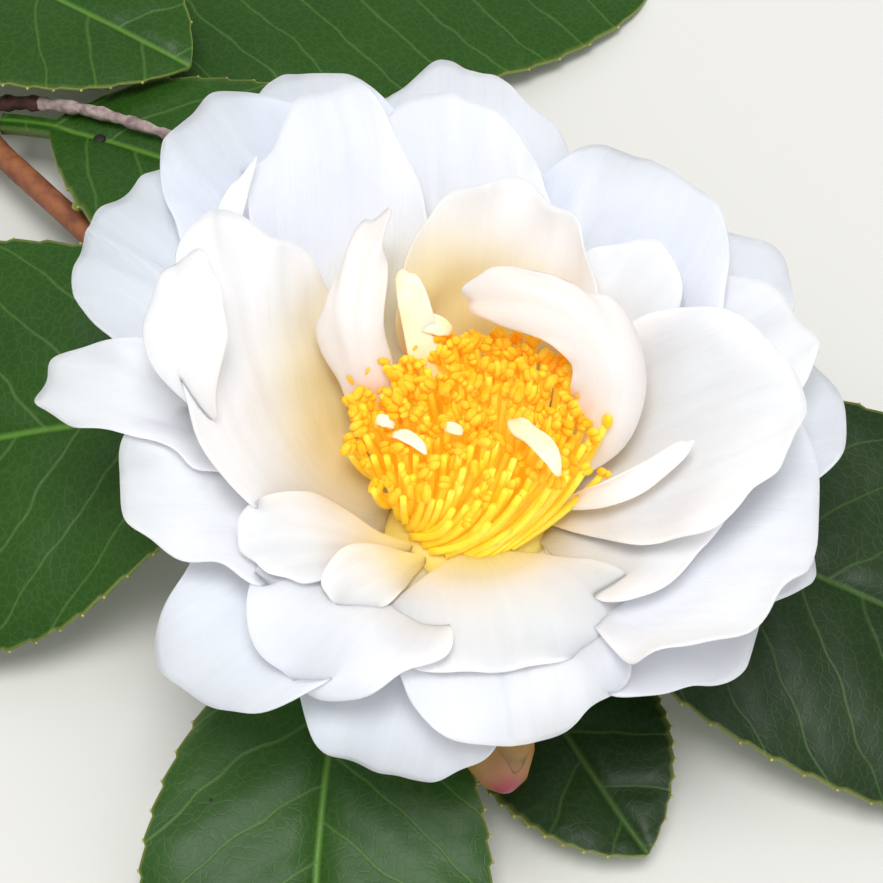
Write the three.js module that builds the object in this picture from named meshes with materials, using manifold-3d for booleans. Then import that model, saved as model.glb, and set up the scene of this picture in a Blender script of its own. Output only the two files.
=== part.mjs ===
// A cut sprig of a flowering camellia, laid down on its leaves: one full double
// white bloom with its stamens, the bark-covered stem that carries it, seven
// glossy leaves, a dry side twig and one bud.
// Millimetres, +Z up. The sprig rests on z = 0.

import * as THREE from 'three';
import { mergeVertices } from 'three/addons/utils/BufferGeometryUtils.js';
import Module from 'manifold-3d';

const wasm = await Module();
wasm.setup();

// ---------------------------------------------------------------- main sizes
// Everything is worked out round the bloom's own centre; BLOOM_AT is where that
// centre stands in the part's frame.
const BLOOM_AT = [9.527, -26.48, 29.972];
const GROUND = -30;            // the ground below the bloom's centre
const GAP = 0.3;               // clearance between neighbouring solids

const PETAL_THICK = 0.7;
const PETAL_ROWS = 5;
const PETAL_COLS = 4;

const RECEPTACLE_RADIUS = 9.4;
const RECEPTACLE_DEPTH = 5;

const LEAF_THICK = 0.95;
const MIDRIB_THICK = 1.5;
const PETIOLE_LENGTH = 7;
const PETIOLE_HALF = 1.0;

const STEM_RADIUS_CUT = 1.65;
const STEM_RADIUS_TIP = 1.15;

const FILAMENTS = 30;
const FILAMENT_RADIUS = 0.42;
const ANTHER_RADIUS = 0.85;

// ------------------------------------------------------------------- helpers
const rad = THREE.MathUtils.degToRad;
const clamp = THREE.MathUtils.clamp;
const lerp = THREE.MathUtils.lerp;

function ease(x) {
  const k = clamp(x, 0, 1);
  return k * k * (3 - 2 * k);
}

function heading(turn, slope) {
  const flat = Math.cos(rad(slope));
  return new THREE.Vector3(flat * Math.cos(rad(turn)), flat * Math.sin(rad(turn)), Math.sin(rad(slope)));
}

// A closed slab round the surface place(a, b), a and b from -1 to 1, with its
// full thickness thick(a, b) laid half on each side of that surface.
function slab(cols, rows, place, thick) {
  const wide = cols + 1;
  const count = wide * (rows + 1);
  const verts = new Float32Array(count * 2 * 3);
  const step = 1e-3;
  for (let j = 0; j <= rows; j += 1) {
    for (let i = 0; i <= cols; i += 1) {
      const a = -1 + 2 * i / cols;
      const b = -1 + 2 * j / rows;
      const ai = clamp(a, -1 + step, 1 - step);
      const bi = clamp(b, -1 + step, 1 - step);
      const across = place(ai + step, bi).sub(place(ai - step, bi));
      const along = place(ai, bi + step).sub(place(ai, bi - step));
      const half = across.cross(along).normalize().multiplyScalar(thick(a, b) / 2);
      const mid = place(a, b);
      const k = j * wide + i;
      mid.clone().add(half).toArray(verts, k * 3);
      mid.clone().sub(half).toArray(verts, (count + k) * 3);
    }
  }
  const faces = [];
  const quad = (p, q, r, s) => faces.push(p, q, r, p, r, s);
  for (let j = 0; j < rows; j += 1) {
    for (let i = 0; i < cols; i += 1) {
      const k = j * wide + i;
      quad(k, k + 1, k + wide + 1, k + wide);
      quad(count + k, count + k + wide, count + k + wide + 1, count + k + 1);
    }
  }
  for (let i = 0; i < cols; i += 1) {
    const far = rows * wide + i;
    quad(i, count + i, count + i + 1, i + 1);
    quad(far, far + 1, count + far + 1, count + far);
  }
  for (let j = 0; j < rows; j += 1) {
    const left = j * wide;
    const right = left + cols;
    quad(left, left + wide, count + left + wide, count + left);
    quad(right, count + right, count + right + wide, right + wide);
  }
  return closed(verts, faces);
}

// A closed tube of round rings along path(t), t from 0 to 1.
function limb(path, radius, rings, sides) {
  const verts = [];
  const faces = [];
  let up = new THREE.Vector3(0.2, 0.1, 1);
  for (let j = 0; j <= rings; j += 1) {
    const t = j / rings;
    const ahead = path(Math.min(1, t + 1e-3)).sub(path(Math.max(0, t - 1e-3))).normalize();
    const side = new THREE.Vector3().crossVectors(ahead, up).normalize();
    up = new THREE.Vector3().crossVectors(side, ahead);
    for (let i = 0; i < sides; i += 1) {
      const turn = 2 * Math.PI * i / sides;
      const point = path(t);
      point.addScaledVector(side, Math.cos(turn) * radius(t));
      point.addScaledVector(up, Math.sin(turn) * radius(t));
      verts.push(point.x, point.y, point.z);
    }
  }
  for (let j = 0; j < rings; j += 1) {
    for (let i = 0; i < sides; i += 1) {
      const a = j * sides + i;
      const b = j * sides + (i + 1) % sides;
      faces.push(a, b, b + sides, a, b + sides, a + sides);
    }
  }
  const last = rings * sides;
  for (let i = 1; i < sides - 1; i += 1) {
    faces.push(0, i + 1, i, last, last + i, last + i + 1);
  }
  return closed(new Float32Array(verts), faces);
}

// Turns a vertex and face list into a closed geometry whose faces point out.
function closed(verts, faces) {
  let volume = 0;
  const p = new THREE.Vector3();
  const q = new THREE.Vector3();
  const r = new THREE.Vector3();
  for (let f = 0; f < faces.length; f += 3) {
    p.fromArray(verts, faces[f] * 3);
    q.fromArray(verts, faces[f + 1] * 3);
    r.fromArray(verts, faces[f + 2] * 3);
    volume += p.dot(q.cross(r));
  }
  const list = volume < 0 ? faces.slice().reverse() : faces;
  const geometry = new THREE.BufferGeometry();
  geometry.setAttribute('position', new THREE.BufferAttribute(verts, 3));
  geometry.setIndex(list);
  return geometry;
}

function solid(geometry) {
  const bare = geometry.clone();
  bare.deleteAttribute('normal');
  bare.deleteAttribute('uv');
  const merged = mergeVertices(bare, 1e-5);
  return new wasm.Manifold(new wasm.Mesh({
    numProp: 3,
    vertProperties: new Float32Array(merged.attributes.position.array),
    triVerts: new Uint32Array(merged.index.array),
  }));
}

function joined(geometries) {
  return geometries.map(solid).reduce((sum, next) => sum.add(next));
}

// The largest body of a solid; the scraps that a cut leaves loose are dropped.
function mainBody(body) {
  const bodies = body.decompose();
  return bodies.reduce((best, next) => (next.volume() > best.volume() ? next : best));
}

function geometryOf(body) {
  const mesh = body.getMesh();
  const geometry = new THREE.BufferGeometry();
  geometry.setAttribute('position', new THREE.BufferAttribute(mesh.vertProperties.slice(), 3));
  geometry.setIndex(new THREE.BufferAttribute(mesh.triVerts.slice(), 1));
  return geometry;
}

// A turned body between two points; profile pairs are a radius and a share of the length.
function ovoid(from, to, profile, sides) {
  const axis = to.clone().sub(from);
  const points = profile.map(([r, h]) => new THREE.Vector2(r, h * axis.length()));
  const geometry = new THREE.LatheGeometry(points, sides);
  const turn = new THREE.Quaternion().setFromUnitVectors(new THREE.Vector3(0, 1, 0), axis.clone().normalize());
  geometry.applyQuaternion(turn);
  geometry.translate(from.x, from.y, from.z);
  return geometry;
}

// -------------------------------------------------------------------- petals
// One petal: turn is the compass angle of its tip round the bloom, reach and
// height place the tip, width is its full breadth. launch and end are the rise
// in degrees at the foot and at the tip, swing and head turn the petal sideways
// at the foot and at the tip, cup is how far its cross-section bends, and arm is
// how strongly the midline follows launch and end. root and base place the foot.
const PETAL_PLAIN = {
  root: 7.7, base: -1.7, launch: 20, end: 0, cup: 60, swing: 0, head: 0, arm: 0.38, ruffle: 0.6, waves: 3, phase: 0,
};

const PETALS = [
  // the outermost ring, which droops towards the ground
  { turn: -105, reach: 27.5, height: -6, width: 22, launch: 10, end: -50, cup: 50 },
  { turn: -30, reach: 31.5, height: 0, width: 25, launch: 10, end: -20, cup: 40 },
  { turn: -13, reach: 35, height: 1, width: 20, launch: 12, end: -12, cup: 40 },
  { turn: 14, reach: 38.5, height: 4, width: 28, launch: 15, end: 0, cup: 50 },
  { turn: 43, reach: 41, height: 7, width: 28, launch: 20, end: 0, cup: 50 },
  { turn: 91, reach: 48, height: 9, width: 24, launch: 22, end: 0, cup: 50 },
  { turn: 112, reach: 49.5, height: 9, width: 22, launch: 22, end: 0, cup: 50 },
  { turn: 122, reach: 50.5, height: 9, width: 24, launch: 22, end: 0, cup: 50 },
  { turn: 138, reach: 49, height: 8, width: 26, launch: 20, end: -5, cup: 45 },
  { turn: -146, reach: 33.5, height: 0, width: 24, launch: 12, end: -40, cup: 45 },
  // the broad second ring
  { turn: 60, reach: 39.5, height: 11, width: 30, launch: 25, end: 8 },
  { turn: 92, reach: 41.5, height: 14, width: 22, launch: 30, end: 10 },
  { turn: -10, reach: 33.5, height: 8, width: 40, launch: 15, end: 10, cup: 90 },
  { turn: -75, reach: 26.7, height: -1, width: 24, launch: 12, end: -30, cup: 45 },
  { turn: -128, reach: 25.5, height: 1.5, width: 22, launch: 15, end: -35, cup: 45 },
  { turn: 179, reach: 34.5, height: 8, width: 24, launch: 15, end: 0, cup: 70 },
  { turn: 165, reach: 43, height: 7, width: 17, launch: 18, end: -12, cup: 45 },
  // the third ring, which stands up at the back and sides
  { turn: 111, reach: 41, height: 18, width: 18, launch: 38, end: 20, cup: 80, swing: 40 },
  { turn: 22, reach: 33.5, height: 12, width: 30, launch: 30, end: 20, cup: 80 },
  { turn: 130, reach: 36, height: 17, width: 16, launch: 35, end: 20, cup: 80 },
  { turn: -168, reach: 24, height: 3, width: 8, launch: 10, end: -10 },
  { turn: -12, reach: 24.5, height: 6, width: 22, launch: 15, end: 25, cup: 80 },
  { turn: -64, reach: 23, height: 2, width: 18, launch: 15, end: -20, cup: 40 },
  { turn: -88, reach: 16.5, height: 3, width: 17, launch: 15, end: -20, cup: 40 },
  { turn: -131, reach: 17.5, height: 4, width: 13, launch: 15, end: -20, cup: 40 },
  // the small upright petals round the stamens
  { turn: 148, reach: 34, height: 16, width: 13, launch: 35, end: 30 },
  { turn: 151, reach: 27, height: 17, width: 17, launch: 45, end: 30, cup: 90 },
  { turn: 20, reach: 30.5, height: 15, width: 32, launch: 35, end: 30, cup: 100 },
  { turn: 133, reach: 18, height: 19, width: 17, launch: 75, end: 85, swing: 10, head: 55 },
  { turn: 78, reach: 24.5, height: 20, width: 24, launch: 50, end: 45, cup: 110 },
  { turn: 88, reach: 10.5, height: 19, width: 10, launch: 55, end: 0, cup: 20, swing: -75, head: 92, arm: 0.55 },
  { turn: -13, reach: 16, height: 14, width: 12, launch: 40, end: 30 },
];

const PETAL_NECK = 0.45;       // breadth at the foot, as a share of the width

// Gives the point of a petal's mid surface at (a, b): a across, b foot to tip.
function petalSurface(row) {
  const q = { ...PETAL_PLAIN, ...row };
  const tip = new THREE.Vector3(q.reach * Math.cos(rad(q.turn)), q.reach * Math.sin(rad(q.turn)), q.height);
  const out = heading(q.turn + q.swing, 0).multiplyScalar(q.root);
  const foot = new THREE.Vector3(out.x, out.y, q.base);
  const pull = q.arm * foot.distanceTo(tip);
  const mid = new THREE.CubicBezierCurve3(
    foot,
    foot.clone().addScaledVector(heading(q.turn + q.swing, q.launch), pull),
    tip.clone().addScaledVector(heading(q.turn + q.head, q.end), -pull),
    tip,
  );
  const length = mid.getLength();
  const right = new THREE.Vector3(Math.sin(rad(q.turn)), -Math.cos(rad(q.turn)), 0);
  return (a, b) => {
    const across = a * Math.sqrt(1 - b * b / 2);
    const along = (b * Math.sqrt(1 - a * a / 2) + 1) / 2;
    const rim = Math.hypot(across, 2 * along - 1);
    const round = Math.atan2(across, 2 * along - 1);
    const neck = PETAL_NECK + (1 - PETAL_NECK) * ease(along / 0.62);
    const x = across * q.width / 2 * neck;
    const lift = q.ruffle * rim ** 3 * Math.sin(q.waves * round + rad(q.phase));
    const u = mid.getUtoTmapping(0, along * length);
    const ahead = mid.getTangent(u);
    const side = new THREE.Vector3(ahead.y, -ahead.x, 0).normalize();
    if (side.dot(right) < 0) side.negate();
    const face = new THREE.Vector3().crossVectors(side, ahead);
    const bend = Math.max(1e-4, rad(q.cup) / q.width * ease(along / 0.35));
    const turn = x * bend;
    const point = mid.getPoint(u);
    point.addScaledVector(side, Math.sin(turn) / bend - lift * Math.sin(turn));
    point.addScaledVector(face, (1 - Math.cos(turn)) / bend + lift * Math.cos(turn));
    return point;
  };
}

function petal(row, thick) {
  const rim = 0.6;
  const depth = (a, b) => thick * lerp(1, rim, Math.max(a * a, b * b));
  return slab(PETAL_COLS, PETAL_ROWS, petalSurface(row), depth);
}

// -------------------------------------------------------------- bloom's core
const CALYX_TOP = -RECEPTACLE_DEPTH - GAP;
const CALYX_FOOT = -11.5;
const SEPALS = 5;
const SEPAL_STEP = 360 / SEPALS;
const SEPAL = { root: 3.5, base: -9.4, reach: 12.6, height: -3.9, width: 12, launch: 15, end: 40, cup: 60, ruffle: 0 };

function lathe(profile, sides) {
  const geometry = new THREE.LatheGeometry(profile.map(([r, h]) => new THREE.Vector2(r, h)), sides);
  return geometry.rotateX(Math.PI / 2);
}

function bloomGeometry() {
  const core = lathe([
    [0, -RECEPTACLE_DEPTH], [6, -RECEPTACLE_DEPTH], [RECEPTACLE_RADIUS, -2.8], [8, -0.6], [7, 0], [0, 0],
  ], 20);
  return geometryOf(mainBody(joined([core, ...PETALS.map((row) => petal(row, PETAL_THICK))])));
}

function calyxGeometry() {
  const cup = lathe([[0, CALYX_FOOT], [2.2, CALYX_FOOT], [5.2, -9.2], [5.9, CALYX_TOP - 0.6], [5.2, CALYX_TOP], [0, CALYX_TOP]], 16);
  const sepals = Array.from({ length: SEPALS }, (_, i) => {
    return slab(3, 3, petalSurface({ ...SEPAL, turn: 20 + i * SEPAL_STEP }), () => 0.8);
  });
  const room = lathe([
    [0, CALYX_TOP], [6.2, CALYX_TOP], [RECEPTACLE_RADIUS + GAP, -2.6],
    [RECEPTACLE_RADIUS + GAP, 1], [0, 1],
  ], 20);
  return geometryOf(mainBody(joined([cup, ...sepals]).subtract(solid(room))));
}

// ------------------------------------------------------------------- stamens
const TUFT_LEAN = new THREE.Vector3(1.2, 3.5, 0);
const TUFT_BASE_RADIUS = 7.3;
const TUFT_TOP_RADIUS = 12.5;
const TUFT_HEIGHT = 15;
const TURN_STEP = 137.508;

function filament(i) {
  const share = (i + 0.5) / FILAMENTS;
  const ring = Math.sqrt(share);
  const out = heading(i * TURN_STEP, 0);
  const foot = out.clone().multiplyScalar(0.9 * TUFT_BASE_RADIUS * ring);
  foot.z = GAP + 0.6;
  const top = out.clone().multiplyScalar(TUFT_TOP_RADIUS * ring).add(TUFT_LEAN);
  top.z = TUFT_HEIGHT - 4.5 * share + 1.2 * Math.sin(i * 2.4);
  const bend = foot.clone().lerp(top, 0.3);
  bend.z = top.z * 0.62;
  const curve = new THREE.QuadraticBezierCurve3(foot, bend, top);
  const anther = new THREE.OctahedronGeometry(ANTHER_RADIUS);
  anther.scale(1, 0.8, 1.35);
  anther.rotateY(0.6 * Math.sin(i * 1.7));
  anther.translate(top.x, top.y, top.z);
  return [limb((t) => curve.getPoint(t), () => FILAMENT_RADIUS, 3, 3), anther];
}

// Small creamy petals that stand among the stamens.
const INNER_PETALS = [
  { turn: -4, reach: 8.5, height: 13.5, width: 5, launch: 75, end: 40, cup: 50 },
  { turn: 118, reach: 11.5, height: 14.5, width: 4.5, launch: 65, end: 50, cup: 60 },
  { turn: 100, reach: 9, height: 15, width: 4, launch: 70, end: 20, cup: 40 },
];

function stamensGeometry() {
  const base = lathe([[0, GAP], [TUFT_BASE_RADIUS, GAP], [TUFT_BASE_RADIUS - 0.3, 1.3], [2.5, 2.2], [0, 2.4]], 14);
  const hairs = Array.from({ length: FILAMENTS }, (_, i) => filament(i)).flat();
  const inner = INNER_PETALS.map((row) => slab(3, 5, petalSurface({ root: 4, base: 0.8, ...row }), () => 0.7));
  const room = joined(PETALS.map((row) => petal({
    ...row,
    root: row.root ?? PETAL_PLAIN.root - GAP,
    reach: row.reach + GAP,
    width: row.width + 3 * GAP,
  }, PETAL_THICK + 4 * GAP)));
  return geometryOf(mainBody(joined([base, ...hairs, ...inner]).subtract(room)));
}

// ---------------------------------------------------------------------- stem
const STEM_POINTS = [
  [-100, 112, GROUND + 1.8],
  [-76, 85.5, GROUND + 4],
  [-54.5, 61.5, GROUND + 7.5],
  [-45.2, 51.2, GROUND + 8.7],
  [-22, 25, GROUND + 11.5],
  [-6.5, 7.5, GROUND + 13.5],
  [-1, 1.2, GROUND + 15.2],
  [0, 0, GROUND + 17.6],
].map((p) => new THREE.Vector3(...p));
const STEM = new THREE.CatmullRomCurve3(STEM_POINTS, false, 'centripetal');
const STEM_SIDES = 8;
const STEM_RINGS = 40;

// Leaves: at is the place on the stem, turn and launch the heading of the stalk
// there, end the slope at the tip, tip the leaf's far point, width its full breadth, roll its sideways
// tilt in degrees.
const LEAVES = [
  { at: 0.13, turn: -20, launch: 32, end: -8, tip: [-32, 69.5, GROUND + 14], width: 33, roll: 0 },
  { at: 0.28, turn: 20, launch: 12, end: -6, tip: [24, 93, GROUND + 0.5], width: 38, roll: 0 },
  { at: 0.43, turn: -18, launch: 18, end: -8, tip: [8, 35, GROUND + 9], width: 34, roll: 0 },
  { at: 0.88, turn: 150, launch: 28, end: -14, tip: [-90, 17, GROUND + 0.85], width: 46, roll: 17 },
  { at: 0.94, turn: 235, launch: -8, end: -8, tip: [-17, -60, GROUND + 0.5], width: 35, roll: 0 },
  { at: 0.955, turn: -30, launch: -42, end: -6, tip: [18.5, -25.5, GROUND + 4], width: 21, roll: 0 },
  { at: 0.92, turn: 10, launch: 8, end: -12, tip: [82, -14, GROUND + 0.5], width: 41, roll: -8 },
];

const LEAF_COLS = 4;
const LEAF_ROWS = 16;
const LEAF_KEEL = 7;           // rise of each half from the midrib, degrees
const LEAF_ARCH = 0.006;       // droop of the margins, per millimetre squared

const NODE_SWELL = 0.2;
const NODE_LENGTH = 0.012;

function stemRadius(t) {
  const swell = LEAVES.reduce((sum, leaf) => sum + Math.exp(-(((t - leaf.at) / NODE_LENGTH) ** 2)), 0);
  return lerp(STEM_RADIUS_CUT, STEM_RADIUS_TIP, t) * (1 + NODE_SWELL * Math.min(1, swell));
}

// A point just clear of the stem's bark for something of that half breadth that
// sets off in that direction.
function besideStem(at, direction, half) {
  const along = STEM.getTangentAt(at);
  const slant = direction.dot(along);
  const out = direction.clone().addScaledVector(along, -slant).normalize();
  return STEM.getPointAt(at).addScaledVector(out, stemRadius(at) + GAP + half * Math.abs(slant));
}

function leafSurface(row) {
  const start = heading(row.turn, row.launch);
  const foot = besideStem(row.at, start, PETIOLE_HALF);
  const tip = new THREE.Vector3(...row.tip);
  const span = foot.distanceTo(tip);
  const flat = Math.atan2(tip.y - foot.y, tip.x - foot.x) * 180 / Math.PI;
  const mid = new THREE.CubicBezierCurve3(
    foot,
    foot.clone().addScaledVector(start, 0.3 * span),
    tip.clone().addScaledVector(heading(flat, row.end), -0.35 * span),
    tip,
  );
  const length = mid.getLength();
  const stalk = PETIOLE_LENGTH / length;
  return (a, b) => {
    const t = 0.5 - 0.5 * Math.cos(Math.PI * (b + 1) / 2);
    const u = clamp((t - stalk) / (1 - stalk), 0, 1);
    const blade = row.width / 2 * (4 * u * (1 - u)) ** 0.75;
    const x = a * Math.max(blade, lerp(PETIOLE_HALF, 0.35, t));
    const at = mid.getUtoTmapping(0, t * length);
    const ahead = mid.getTangent(at);
    const side = new THREE.Vector3(ahead.y, -ahead.x, 0).normalize();
    const face = new THREE.Vector3().crossVectors(side, ahead);
    const tilt = rad(row.roll) * ease(u * 3);
    const point = mid.getPoint(at);
    const rise = Math.tan(rad(LEAF_KEEL)) * Math.abs(x) - LEAF_ARCH * x * x;
    point.addScaledVector(side, x * Math.cos(tilt) - rise * Math.sin(tilt));
    point.addScaledVector(face, x * Math.sin(tilt) + rise * Math.cos(tilt));
    return point;
  };
}

function leafGeometry(row) {
  const stalk = 0.09;
  const depth = (a, b) => {
    const t = 0.5 - 0.5 * Math.cos(Math.PI * (b + 1) / 2);
    const stiff = 1 - ease((t - stalk) / 0.1);
    const middle = lerp(MIDRIB_THICK, LEAF_THICK, ease(t));
    return lerp(lerp(middle, LEAF_THICK * 0.8, Math.min(1, 2 * Math.abs(a))), 1.6, stiff);
  };
  return slab(LEAF_COLS, LEAF_ROWS, leafSurface(row), depth);
}

// The dry twig that stands out over the third leaf.
function twigGeometry() {
  const start = heading(25, 40);
  const foot = besideStem(0.4, start, 1.2);
  const tip = new THREE.Vector3(-31.5, 57.5, GROUND + 14.6);
  const bend = foot.clone().lerp(tip, 0.4).add(new THREE.Vector3(0, 2.5, 3.2));
  const curve = new THREE.QuadraticBezierCurve3(foot, bend, tip);
  return limb((t) => curve.getPoint(t), (t) => lerp(0.8, 0.45, t), 6, 6);
}

const BUD_PROFILE = [
  [0, 0], [1.1, 0], [1.3, 0.08], [3.4, 0.17], [4.7, 0.32], [4.9, 0.47], [4.4, 0.65], [3.2, 0.82], [1.6, 0.95], [0, 1],
];

function budGeometry() {
  const from = besideStem(0.985, heading(-62, 0), 1.2);
  const to = new THREE.Vector3(4.5, -24.2, GROUND + 16.4);
  return ovoid(from, to, BUD_PROFILE, 12);
}

// ---------------------------------------------------------------- assembling
const COLOURS = {
  petal: '#f6f4f2', stamen: '#ffc21a', calyx: '#8a8a4a', bark: '#a5674b', twig: '#9c8a86', leaf: '#2c5a28', bud: '#b0645a',
};

function named(name, geometry, colour, roughness) {
  const material = new THREE.MeshStandardMaterial({ color: colour, roughness, metalness: 0 });
  const mesh = new THREE.Mesh(geometry, material);
  mesh.name = name;
  return mesh;
}

const sprig = new THREE.Group();
sprig.add(named('bloom', bloomGeometry(), COLOURS.petal, 0.55));
sprig.add(named('stamens', stamensGeometry(), COLOURS.stamen, 0.6));
sprig.add(named('calyx', calyxGeometry(), COLOURS.calyx, 0.6));
sprig.add(named('stem', limb((t) => STEM.getPointAt(t), stemRadius, STEM_RINGS, STEM_SIDES), COLOURS.bark, 0.8));
sprig.add(named('side_twig', twigGeometry(), COLOURS.twig, 0.9));
LEAVES.forEach((row, i) => sprig.add(named(`leaf_${i + 1}`, leafGeometry(row), COLOURS.leaf, 0.35)));
sprig.add(named('bud', budGeometry(), COLOURS.bud, 0.5));
sprig.position.set(...BLOOM_AT);

export default sprig;
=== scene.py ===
# A cut sprig of a flowering camellia lying on its leaves: petals, stamens,
# petaloids, calyx, bark-covered stem, dry twig, seven leaves and the buds.
# Sizes are in millimetres round the bloom's centre; put() carries them into the
# part's frame in metres.

import math
from functools import partial

import bpy
import numpy as np
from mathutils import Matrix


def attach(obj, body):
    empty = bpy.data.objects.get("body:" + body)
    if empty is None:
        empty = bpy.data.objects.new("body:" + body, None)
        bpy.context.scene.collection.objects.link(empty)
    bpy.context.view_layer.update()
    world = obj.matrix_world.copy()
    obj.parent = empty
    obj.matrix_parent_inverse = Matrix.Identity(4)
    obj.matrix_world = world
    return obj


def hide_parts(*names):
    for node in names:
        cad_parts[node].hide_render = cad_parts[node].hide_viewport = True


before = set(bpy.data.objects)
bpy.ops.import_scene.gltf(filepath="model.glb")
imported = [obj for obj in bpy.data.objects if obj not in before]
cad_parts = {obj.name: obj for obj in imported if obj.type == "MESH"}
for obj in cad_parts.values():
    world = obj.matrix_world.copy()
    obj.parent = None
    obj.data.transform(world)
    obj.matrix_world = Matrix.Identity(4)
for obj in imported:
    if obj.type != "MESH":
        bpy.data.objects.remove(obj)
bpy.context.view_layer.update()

# ------------ main sizes
BLOOM_AT = np.array([9.527, -26.48, 29.972])
GROUND = -30.0
GAP = 0.3
MM = 0.001
UV_SPAN = 100.0             # millimetres that one unit of a UV map spans
GOLDEN_TURN = 137.508       # degrees from one to the next round a spiral

PETAL_THICK = 0.5
RIM_SHARE = 0.36
PETAL_COLS = 44
PETAL_ROWS = 30
PETAL_ARM = 0.38            # how far the midrib holds the slopes of its ends
PETAL_WAVES = 3             # waves of the ruffle round a rim
PETAL_UV_RUN = 60.0         # millimetres from foot to rim for one unit
TUFT_FOOT = np.array([0.5, 0.5, 0.0])
HEART = np.array([-3.0, 9.0, 6.0])
YELLOW_FROM = 5.5           # distance from TUFT_FOOT where the yellow starts to fade
SHADE_CREAM_FROM = 10             # distance from HEART where the cream of the painted shade starts to fade
SHADE_CREAM_FADE = 13
RECEPTACLE_RADIUS = 9.4
RECEPTACLE_DEPTH = 5.0
CALYX_TOP = -RECEPTACLE_DEPTH - GAP
CALYX_FOOT = -11.5

LEAF_THICK = 0.5
LEAF_COLS = 24
RIM_TINT = 0.45             # share of the rim's own tone at a leaf's rim
TEETH = 24
ROWS_PER_TOOTH = 8
TOOTH_DEPTH = 0.32
PETIOLE_LENGTH = 7.0
PETIOLE_HALF = 1.0
LEAF_KEEL = 7.0
LEAF_ARCH = 0.006
VEIN_SPACING = 7.5
VEIN_SLANT = 0.62           # how far a side vein runs forward for each mm out
VEIN_BEND = 0.014
QUILT_HEIGHT = 0.28         # rise of the blade between side veins
MIDRIB_GROOVE = 0.22
MIDRIB_RIDGE = 0.75

STEM_RADIUS_CUT = 1.65
STEM_RADIUS_TIP = 1.15
NODE_SWELL = 0.2
NODE_LENGTH = 0.012


# ------------ helpers
def ease(x):
    k = np.clip(x, 0, 1)
    return k * k * (3 - 2 * k)


def lerp(a, b, t):
    return a + (b - a) * t


def heading(turn, slope):
    flat = math.cos(math.radians(slope))
    turn = math.radians(turn)
    return np.array([flat * math.cos(turn), flat * math.sin(turn), math.sin(math.radians(slope))])


def unit(v):
    return v / np.maximum(np.linalg.norm(v, axis=-1, keepdims=True), 1e-9)


def tone(code):
    """A sRGB hex colour as the linear colour that a shader reads."""
    parts = [int(code[i:i + 2], 16) / 255 for i in (1, 3, 5)]
    return (*[c / 12.92 if c <= 0.04045 else ((c + 0.055) / 1.055) ** 2.4 for c in parts], 1.0)


def hang(name, data):
    """A new object in the scene with this mesh, light or camera."""
    made = bpy.data.objects.new(name, data)
    bpy.context.scene.collection.objects.link(made)
    return made


def add(tree, kind, *values, **given):
    """Adds one node. Its operation comes first, if it has one. Values fill the
    inputs that it shows, in order. A keyword with a capital is an input's name
    and any other is a setting. A node given as a value stands for the first
    output that it shows."""
    made = tree.nodes.new(kind)
    if hasattr(made, "operation"):
        made.operation, *values = values
    for name, value in given.items():
        if name[0].islower():
            setattr(made, name, value)
    filled = list(zip([socket for socket in made.inputs if socket.enabled], values))
    filled += [(made.inputs[name.replace("_", " ")], given[name]) for name in given if name[0].isupper()]
    for socket, value in filled:
        if isinstance(value, bpy.types.Node):
            value = next(output for output in value.outputs if output.enabled)
        if isinstance(value, bpy.types.NodeSocket):
            tree.links.new(value, socket)
        else:
            socket.default_value = value
    return made


def put(points):
    return (np.asarray(points, float).reshape(-1, 3) + BLOOM_AT) * MM


def piece(name, verts, faces, material, uv=None, attributes=None, smooth=True):
    """A finished mesh object; uv and attributes hold one value for each vertex."""
    mesh = bpy.data.meshes.new(name)
    mesh.from_pydata(put(verts).tolist(), [], [tuple(f) for f in faces])
    if uv is not None:
        layer = mesh.uv_layers.new(name="surface")
        corners = np.zeros(len(mesh.loops), np.int32)
        mesh.loops.foreach_get("vertex_index", corners)
        layer.data.foreach_set("uv", np.asarray(uv, np.float32)[corners].ravel())
    for key, values in (attributes or {}).items():
        attribute = mesh.attributes.new(key, "FLOAT", "POINT")
        attribute.data.foreach_set("value", np.asarray(values, np.float32))
    mesh.materials.append(material)
    mesh.validate()
    if smooth:
        mesh.shade_smooth()
    return hang(name, mesh)


def settle(made, slot, *nodes):
    """Hangs a finished piece on the sprig in place of its solids."""
    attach(made, "root")
    if nodes:
        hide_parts(*nodes)
    return made


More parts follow.
